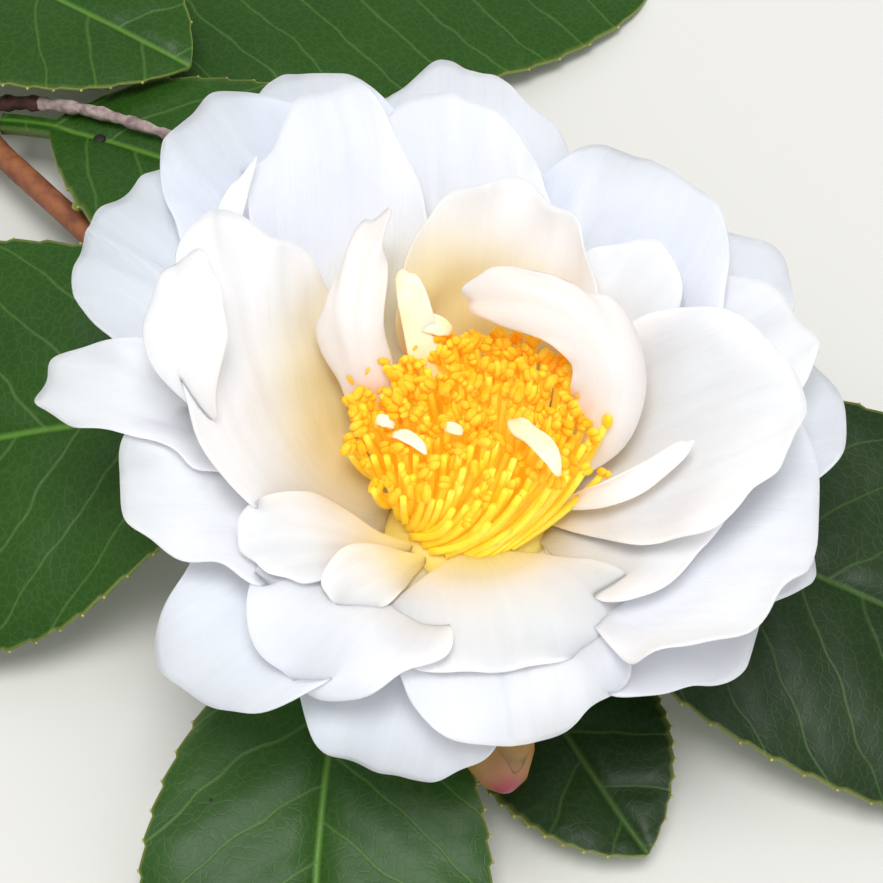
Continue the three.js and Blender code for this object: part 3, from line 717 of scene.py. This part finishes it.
def filament_tree():
    tree, given, node = new_tree("filaments on the receptacle", TUFT)
    rod = node(
        "GeometryNodeMeshCylinder", Vertices=5, Side_Segments=7, Fill_Segments=1, Radius=1.0, Depth=1.0)
    many = node("GeometryNodeInstanceOnPoints", tuft_points(given, node), Instance=rod)
    local = node(SPLIT, node("GeometryNodeInputPosition")).outputs
    t = node(MATH, "ADD", local[2], 0.5)
    back = node(MATH, "SUBTRACT", 1.0, t)
    foot, middle, top = (
        node(ATTRIBUTE, Name=name, data_type="FLOAT_VECTOR") for name in ("foot", "middle", "top"))
    # a point on the curve through foot and top that leans on the middle
    place = (0.0, 0.0, 0.0)
    for point, first, second, times in ((foot, back, back, 1.0), (top, t, t, 1.0), (middle, t, back, 2.0)):
        weight = node(MATH, "MULTIPLY", node(MATH, "MULTIPLY", first, second), times)
        place = node(VECTOR, "ADD", place, node(VECTOR, "SCALE", point, weight))
    runs = [
        node(VECTOR, "SCALE", node(VECTOR, "SUBTRACT", far, near), share)
        for near, far, share in ((foot, middle, back), (middle, top, t))]
    ahead = node(VECTOR, "ADD", *runs)
    side = node(VECTOR, "CROSS_PRODUCT", ahead, (0.31, 0.95, 0.05))
    side = node(VECTOR, "NORMALIZE", side)
    up = node(VECTOR, "CROSS_PRODUCT", side, ahead)
    up = node(VECTOR, "NORMALIZE", up)
    taper = node(MATH, "MULTIPLY_ADD", t, -0.35, 1.15)
    radius = node(MATH, "MULTIPLY", given["Thickness"], taper)
    for direction, step in ((side, local[0]), (up, local[1])):
        reach = node(MATH, "MULTIPLY", step, radius)
        place = node(VECTOR, "ADD", place, node(VECTOR, "SCALE", direction, reach))
    finish_tree(tree, carried(node, node("GeometryNodeRealizeInstances", many), place), FILAMENT)
    return tree


def anther_tree():
    tree, given, node = new_tree("anthers on the filaments", TUFT)
    lobe = node("GeometryNodeMeshUVSphere", Segments=6, Rings=5, Radius=1.0)
    halves = node("GeometryNodeJoinGeometry")
    for shift in (-0.3, 0.3):
        half = node("GeometryNodeTransform", lobe, Translation=(shift, 0.0, 0.1), Scale=(0.42, 0.46, 0.78))
        tree.links.new(half.outputs[0], halves.inputs[0])
    spin = node(RANDOM, (-0.9, -0.9, 0.0), (0.9, 0.9, 6.28), Seed=9, data_type="FLOAT_VECTOR")
    size = node(RANDOM, 0.8, 1.25, Seed=4, data_type="FLOAT")
    top = node(ATTRIBUTE, Name="top", data_type="FLOAT_VECTOR")
    stood = node("GeometryNodeSetPosition", tuft_points(given, node), Position=top)
    # the front filaments have shed many of their anthers
    ripe = node(MATH, "MULTIPLY_ADD", node(SPLIT, top).outputs[1], 0.05, given["Ripe Share"])
    chance = node(RANDOM, 0.0, 1.0, Seed=21, data_type="FLOAT")
    many = node(
        "GeometryNodeInstanceOnPoints", stood, Instance=halves, Rotation=spin, Scale=size,
        Selection=node(MATH, "LESS_THAN", chance, ripe))
    real = node("GeometryNodeRealizeInstances", many)
    finish_tree(tree, carried(node, real, node("GeometryNodeInputPosition")), ANTHER)
    return tree


settle(grown("filaments", filament_tree(), TUFT), "stamen", "stamens")
settle(grown("anthers", anther_tree(), TUFT), "stamen", "stamens")


def petaloid(width, line, **own):
    """A small loose petal among the stamens."""
    return curled(
        width, line, (0, -0.5, 0.85), neck=0.7, full=0.4, crease=0.05, frill=0.12, ruffle=0.15, **own)


PETALOIDS = [
    petaloid(2.5, [(4.2, 1.4, 13.4), (4.6, -1, 15.6), (7.2, -1.8, 15.8), (8.2, -4.6, 14.4)],
        lobes=[(-92, -0.4, 24), (92, -0.35, 24), (0, 0.12, 30)]),
    petaloid(3.4, [(-2, 5, 3), (-3, 8, 9), (-4.6, 12, 14.6), (-5.6, 15.4, 17.2)], cup=30,
        lobes=[(38, 0.18, 22), (-38, 0.18, 22)]),
    petaloid(2.0, [(-5.4, 12.2, 12.6), (-4.4, 12.6, 14), (-2.8, 12, 14.2), (-1.4, 11.2, 13)]),
    petaloid(1.2, [(-6.9, 0.8, 11.4), (-5.8, 0.6, 12.8), (-4.6, -0.4, 12.6), (-3.8, -1, 11.4)]),
    petaloid(1.1, [(-8.6, 2.6, 11), (-8, 2.5, 12), (-7.3, 2.2, 12), (-6.8, 1.9, 11.2)]),
    petaloid(1.1, [(-2.0, 1.2, 12), (-1.6, 1, 13), (-1, 0.8, 13), (-0.4, 0.6, 12.2)]),
]
loose = gather([petal(own, 60 + i, 0.5, 10, 14)[:2] for i, own in enumerate(PETALOIDS)])
settle(piece("petaloids", *loose, PETALOID), "petal", "stamens")

# ------------ stem
STEM_POINTS = np.array([
    [-100, 112, GROUND + 1.8], [-76, 85.5, GROUND + 4], [-54.5, 61.5, GROUND + 7.5],
    [-45.2, 51.2, GROUND + 8.7], [-22, 25, GROUND + 11.5], [-6.5, 7.5, GROUND + 13.5],
    [-1, 1.2, GROUND + 15.2], [0, 0, GROUND + 17.6],
])


def stem_line(samples=600):
    """A centripetal spline through STEM_POINTS, evenly spaced along its length."""
    p = np.vstack([2 * STEM_POINTS[0] - STEM_POINTS[1], STEM_POINTS, 2 * STEM_POINTS[-1] - STEM_POINTS[-2]])
    found = []
    for i in range(1, len(p) - 2):
        d = [np.linalg.norm(p[i + k] - p[i + k - 1]) ** 0.5 for k in range(3)]
        one = (p[i] - p[i - 1]) / d[0] - (p[i + 1] - p[i - 1]) / (d[0] + d[1]) + (p[i + 1] - p[i]) / d[1]
        two = (p[i + 1] - p[i]) / d[1] - (p[i + 2] - p[i]) / (d[1] + d[2]) + (p[i + 2] - p[i + 1]) / d[2]
        one, two = one * d[1], two * d[1]
        t = np.linspace(0, 1, 60, endpoint=i == len(p) - 3)[:, None]
        found.append(p[i] + one * t + (3 * (p[i + 1] - p[i]) - 2 * one - two) * t ** 2
                     + (2 * (p[i] - p[i + 1]) + one + two) * t ** 3)
    line = np.concatenate(found)
    run = np.concatenate([[0], np.cumsum(np.linalg.norm(np.diff(line, axis=0), axis=1))])
    even = np.linspace(0, run[-1], samples + 1)
    return np.stack([np.interp(even, run, line[:, k]) for k in range(3)], 1)


STEM = stem_line()


def stem_at(share):
    return np.array([np.interp(share * (len(STEM) - 1), np.arange(len(STEM)), STEM[:, k]) for k in range(3)])


def stem_ahead(share):
    return unit(stem_at(min(1, share + 1e-3)) - stem_at(max(0, share - 1e-3)))


# place on the stem, turn and launch of the stalk, end slope, tip, width, roll
LEAVES = [
    (0.13, -20, 32, -8, (-32, 69.5, GROUND + 14), 33, 0),
    (0.28, 20, 12, -6, (24, 93, GROUND + 0.5), 38, 0),
    (0.43, -18, 18, -8, (8, 35, GROUND + 9), 34, 0),
    (0.88, 150, 28, -14, (-90, 17, GROUND + 0.85), 46, 17),
    (0.94, 235, -8, -8, (-17, -60, GROUND + 0.5), 35, 0),
    (0.955, -30, -42, -6, (18.5, -25.5, GROUND + 4), 21, 0),
    (0.92, 10, 8, -12, (82, -14, GROUND + 0.5), 41, -8),
]


def stem_radius(share):
    share = np.asarray(share, float)
    swell = sum(np.exp(-(((share - row[0]) / NODE_LENGTH) ** 2)) for row in LEAVES)
    return lerp(STEM_RADIUS_CUT, STEM_RADIUS_TIP, share) * (1 + NODE_SWELL * np.minimum(1, swell))


def beside_stem(share, direction, half):
    along = stem_ahead(share)
    slant = direction @ along
    out = unit(direction - along * slant)
    return stem_at(share) + out * (stem_radius(share) + GAP + half * abs(slant))


BARK_SIZES = {"Sides": 20, "Ridge": 0.09, "Ridge Pitch": 1.1}


def bark_tree():
    """A tube on the path that the host mesh gives, with uneven bark."""
    tree, given, node = new_tree("bark round a path", BARK_SIZES, "Path")
    tube = node(
        "GeometryNodeCurveToMesh", node("GeometryNodeMeshToCurve", given["Path"]), Fill_Caps=True,
        Profile_Curve=node("GeometryNodeCurvePrimitiveCircle", Resolution=given["Sides"], Radius=MM),
        Scale=node(ATTRIBUTE, Name="radius_mm", data_type="FLOAT"))
    # the bumps are 1.6 times as wide as they are high
    here = node(VECTOR, "SCALE", node("GeometryNodeInputPosition"), 1000)
    here = node(VECTOR, "MULTIPLY", here, (1.0, 1.0, 1.6))
    pitch = node(MATH, "DIVIDE", 1.0, given["Ridge Pitch"])
    noise = node(NOISE, node(VECTOR, "SCALE", here, pitch), Scale=1.0, Detail=3.0)
    height = node(MATH, "MULTIPLY", given["Ridge"], MM * 2)
    lift = node(MATH, "MULTIPLY", node(MATH, "SUBTRACT", noise, 0.5), height)
    offset = node(VECTOR, "SCALE", node("GeometryNodeInputNormal"), lift)
    finish_tree(tree, node("GeometryNodeSetPosition", tube, Offset=offset), BARK)
    return tree


def path_mesh(name, points, radii):
    mesh = bpy.data.meshes.new(name)
    mesh.from_pydata(put(points).tolist(), [(i, i + 1) for i in range(len(points) - 1)], [])
    attribute = mesh.attributes.new("radius_mm", "FLOAT", "POINT")
    attribute.data.foreach_set("value", np.asarray(radii, np.float32))
    return mesh


stem_shares = np.linspace(0, 1, 321)
stem_path = path_mesh("stem_path", np.array([stem_at(s) for s in stem_shares]), stem_radius(stem_shares))
settle(grown("stem_bark", bark_tree(), BARK_SIZES, stem_path), "bark", "stem")


# ------------ leaves
def leaf_surface(row, seed):
    share, turn, launch, end, tip, width, roll = row
    start = heading(turn, launch)
    foot = beside_stem(share, start, PETIOLE_HALF)
    tip = np.array(tip, float)
    span = np.linalg.norm(tip - foot)
    flat = math.degrees(math.atan2(tip[1] - foot[1], tip[0] - foot[0]))
    line = [foot, foot + start * 0.3 * span, tip - heading(flat, end) * 0.35 * span, tip]
    at_share, length = by_length(line)
    stalk = PETIOLE_LENGTH / length
    wave = ripples(seed, 5, 16.0, 34.0)

    def plan(a, b):
        """x across and y along the flattened leaf, in millimetres."""
        t = (b + 1) / 2
        u = np.clip((t - stalk) / (1 - stalk), 0, 1)
        blade = width / 2 * (4 * u * (1 - u)) ** 0.75
        part = np.clip(t * TEETH, 0, TEETH) % 1
        tooth = np.where(part < 0.8, part / 0.8, (1 - part) / 0.2)
        toothed = ease(u / 0.12) * ease((1 - u) / 0.04)
        edge = np.maximum(blade + TOOTH_DEPTH * (tooth - 0.5) * toothed, lerp(PETIOLE_HALF, 0.35, t))
        bow = np.sign(a) * ease(np.abs(a))
        return bow * edge, t * length, u, edge

    def place(a, b):
        x, y, u, _ = plan(a, b)
        at = at_share(y / length)
        ahead = bezier_ahead(line, at)
        side = unit(np.stack([ahead[..., 1], -ahead[..., 0], np.zeros_like(at)], -1))
        face = np.cross(side, ahead)
        tilt = math.radians(roll) * ease(u * 3)
        rise = math.tan(math.radians(LEAF_KEEL)) * np.abs(x) - LEAF_ARCH * x * x
        rise = rise + 0.8 * wave(x, y) * (x / (width / 2)) ** 2
        point = bezier(line, at)
        point = point + side * (x * np.cos(tilt) - rise * np.sin(tilt))[..., None]
        return point + face * (x * np.sin(tilt) + rise * np.cos(tilt))[..., None]
    return place, plan


def leaf(name, row, seed, skin):
    place, plan = leaf_surface(row, seed)

    def depth(a, b):
        u = plan(a, b)[2]
        petiole = 1 - ease(u / 0.05)
        return lerp(LEAF_THICK * lerp(1.0, 0.7, np.abs(a) ** 3), 1.5, petiole)

    def relief(a, b):
        x, y, u, edge = plan(a, b)
        width = np.abs(x)
        run = y - VEIN_SLANT * width - VEIN_BEND * width ** 2 - np.where(x > 0, VEIN_SPACING / 2, 0)
        beside = np.abs((run / VEIN_SPACING + 0.5) % 1 - 0.5) * VEIN_SPACING
        inside = ease((edge - width) / 3) * ease(u / 0.08)
        quilt = QUILT_HEIGHT * inside * ease(beside / 2.2) * ease(width / 1.5)
        groove = MIDRIB_GROOVE * np.exp(-(width / 0.5) ** 2) * ease(u / 0.08)
        ridge = MIDRIB_RIDGE * np.exp(-(width / 0.7) ** 2) * ease(u / 0.08) * (1 - 0.6 * u)
        return quilt - groove, quilt - ridge

    rows = TEETH * ROWS_PER_TOOTH
    verts, faces, grid = slab(LEAF_COLS, rows, place, depth, relief)
    x, y, u, edge = plan(grid[:, 0], grid[:, 1])
    uv = np.stack([0.5 + x / UV_SPAN, y / UV_SPAN], 1)
    rim = ease((np.abs(x) - edge + 0.35) / 0.35) * ease(u / 0.05)
    below = 1 - grid[:, 2]
    made = piece(name, verts, faces, skin, uv, {"rim": rim * RIM_TINT, "below": below})
    settle(made, "leaf", name.replace("blade", "leaf"))
    return place


# spots of dead tissue: which leaf, place across and along, radius
LEAF_SPOTS = [(2, 0.043, -0.615, 0.75), (4, 0.609, -0.136, 0.5)]
SHADED_LEAVES = (5, 6)         # rows of LEAVES in the darker copy of the leaf finish, which is painted shade
GLAND_SIZES = {"Gland Radius": 0.21}


def gland_tree():
    """A small pale gland on each tooth tip that the host mesh gives."""
    tree, given, node = new_tree("glands on the leaf teeth", GLAND_SIZES, "Tips")
    radius = node(MATH, "MULTIPLY", given["Gland Radius"], MM)
    bead = node("GeometryNodeMeshIcoSphere", Radius=radius, Subdivisions=1)
    finish_tree(tree, node("GeometryNodeInstanceOnPoints", given["Tips"], Instance=bead), TOOTH_TIP)
    return tree


def spot(place, a, b, radius):
    """A low scab that lies on the leaf's top."""
    step = 2e-3
    middle = place(np.array([a]), np.array([b]))[0]
    across = place(np.array([a + step]), np.array([b]))[0] - middle
    along = place(np.array([a]), np.array([b + step]))[0] - middle
    up = unit(np.cross(across, along))
    side = unit(across)
    verts, faces = lathe([(radius, 0), (radius, 0.3), (radius * 0.7, 0.42), (0.01, 0.46)], 14)
    return middle + verts[:, :1] * side + verts[:, 1:2] * np.cross(up, side) + verts[:, 2:] * up, faces


leaf_places = [
    leaf(f"blade_{i + 1}", row, 900 + i, LEAF_SHADED if i in SHADED_LEAVES else LEAF_LIT)
    for i, row in enumerate(LEAVES)]
tooth_tips = 2 * (np.arange(4, TEETH - 1) + 0.8) / TEETH - 1
tips = np.concatenate([
    place(np.full(len(tooth_tips), edge), tooth_tips) for place in leaf_places for edge in (-1.0, 1.0)])
tip_mesh = bpy.data.meshes.new("tooth_tips")
tip_mesh.from_pydata(put(tips).tolist(), [], [])
settle(grown("leaf_glands", gland_tree(), GLAND_SIZES, tip_mesh), "leaf")
spots = gather([spot(leaf_places[i], a, b, radius) for i, a, b, radius in LEAF_SPOTS])
settle(piece("leaf_spots", *spots, BLEMISH), "leaf")

# ------------ dry twig
twig_start = heading(25, 40)
twig_foot = beside_stem(0.4, twig_start, 1.2)
twig_tip = np.array([-31.5, 57.5, GROUND + 14.6])
twig_line = [twig_foot, lerp(twig_foot, twig_tip, 0.4) + np.array([0, 2.5, 3.2]), twig_tip]
twig_t = np.linspace(0, 1, 90)
twig_radii = lerp(0.95, 0.6, twig_t) * (1 + 0.14 * np.sin(41 * twig_t) + 0.08 * np.sin(97 * twig_t + 1))
TWIG_SIZES = {**BARK_SIZES, "Ridge": 0.2, "Ridge Pitch": 0.8}
# The foot of the twig takes the dark red-brown painted shade, the rest the grey wood.
for name, first, last, skin in (("twig_shaded_end", 0, 34, TWIG_SHADE_BARK), ("dry_twig", 33, 90, DRY)):
    twig_path = path_mesh(name + "_path", bezier(twig_line, twig_t[first:last]), twig_radii[first:last])
    twig = grown(name, bark_tree(), TWIG_SIZES, twig_path)
    twig.data.materials.clear()
    twig.data.materials.append(skin)
    settle(twig, "dry_wood", "side_twig")

# ------------ bud
BUD_PROFILE = [
    (0.01, 0), (1.1, 0), (1.3, 0.08), (3.0, 0.17), (4.0, 0.32), (4.4, 0.5), (4.2, 0.68), (3.5, 0.83),
    (2.3, 0.94), (0.9, 0.99), (0.01, 1)]
BUD_SCALES = 9
SCALE_THICK = 0.3


def bud():
    start = beside_stem(0.985, heading(-62, 0), 1.2)
    end = np.array([4.1, -24.1, GROUND + 16.4])
    length = np.linalg.norm(end - start)
    ahead = unit(end - start)
    side = unit(np.cross([0, 0, 1.0], ahead))
    up = np.cross(ahead, side)
    radii, shares = np.array(BUD_PROFILE).T

    def carry(x, y, z):
        return start + x[..., None] * side + y[..., None] * up + z[..., None] * ahead

    core, faces = lathe([(r, h * length) for r, h in BUD_PROFILE], 32)
    parts = [(carry(*core.T), faces, core[:, 2] / length)]
    for i in range(BUD_SCALES):
        inner = i / (BUD_SCALES - 1)
        turn = math.radians(GOLDEN_TURN * i + 40)
        top = lerp(0.5, 0.96, inner)
        lift = lerp(0.9, 0.3, inner)

        def place(a, b):
            t = (b + 1) / 2
            share = lerp(0.04, top - 0.06 * a * a, t)
            angle = turn + a * math.radians(68) * np.sqrt(1 - 0.8 * t ** 3)
            radius = np.interp(share, shares, radii) + lift * ease(t * 3) - 0.35 * ease((t - 0.8) / 0.2)
            return carry(radius * np.cos(angle), radius * np.sin(angle), share * length)

        def depth(a, b):
            return SCALE_THICK * lerp(1, 0.5, np.maximum(a * a, b * b))
        verts, faces, grid = slab(14, 12, place, depth)
        parts.append((verts, faces, lerp(0.04, top, (grid[:, 1] + 1) / 2)))
    verts, faces, tip = gather(parts)
    settle(piece("bud_scales", verts, faces, BUD_SKIN, attributes={"tip": tip}), "bud", "bud")


def axil_bud(share, turn):
    """A small pointed bud on the stem."""
    out = heading(turn, 35)
    foot = stem_at(share) + out * stem_radius(share) * 0.7
    side = unit(np.cross([0, 0, 1.0], out))
    verts, faces = lathe([(0.5, 0), (0.8, 0.5), (0.75, 1.1), (0.4, 1.9), (0.05, 2.4)], 12)
    return foot + verts[:, :1] * side + verts[:, 1:2] * np.cross(out, side) + verts[:, 2:] * out, faces


bud()
AXIL_BUDS = [(0.13, -70), (0.28, 60), (0.43, -75), (0.535, 10)]
settle(piece("axil_buds", *gather([axil_bud(*row) for row in AXIL_BUDS]), AXIL), "bud")

# ------------ floor, lights, camera
bpy.ops.mesh.primitive_plane_add(size=6)
floor = bpy.context.object
floor.name = "floor"
paper = bare_material("matt pale studio floor")[0]
floor.data.materials.append(coat(paper, Base_Color=tone("#d9d8d4"), Roughness=0.9))

world = bpy.data.worlds.new("soft studio")
bpy.context.scene.world = world
world.use_nodes = True
sky = world.node_tree.nodes["Background"].inputs
sky["Color"].default_value = tone("#f1f1f0")
sky["Strength"].default_value = 0.7


def soft_light(name, at, aim, size, power):
    """A large square softbox at a point in metres, turned to another."""
    lamp = bpy.data.lights.new(name, "AREA")
    lamp.size = size
    lamp.energy = power
    made = hang(name, lamp)
    made.location = at
    away = np.array(at, float) - np.array(aim, float)
    flat = math.hypot(away[0], away[1])
    made.rotation_euler = (math.atan2(flat, away[2]), 0, math.atan2(away[0], -away[1]))


BLOOM_CENTRE = tuple(BLOOM_AT * MM)
soft_light("key softbox", (-0.02, -0.18, 0.98), BLOOM_CENTRE, 0.4, 6.9)
soft_light("front softbox", (0.5, -0.75, 0.5), BLOOM_CENTRE, 0.8, 1.2)

CAMERA_AT = np.array([-2.3, -121.35, 205.98])
CAMERA_TILT = 32
camera = bpy.data.cameras.new("camera")
camera.lens = 100
camera.sensor_width = 36
camera.clip_start = 0.01
eye = hang("camera", camera)
eye.location = tuple((CAMERA_AT + BLOOM_AT) * MM)
eye.rotation_euler = (math.radians(CAMERA_TILT), 0, 0)
bpy.context.scene.camera = eye
bpy.context.scene.view_settings.view_transform = "Standard"
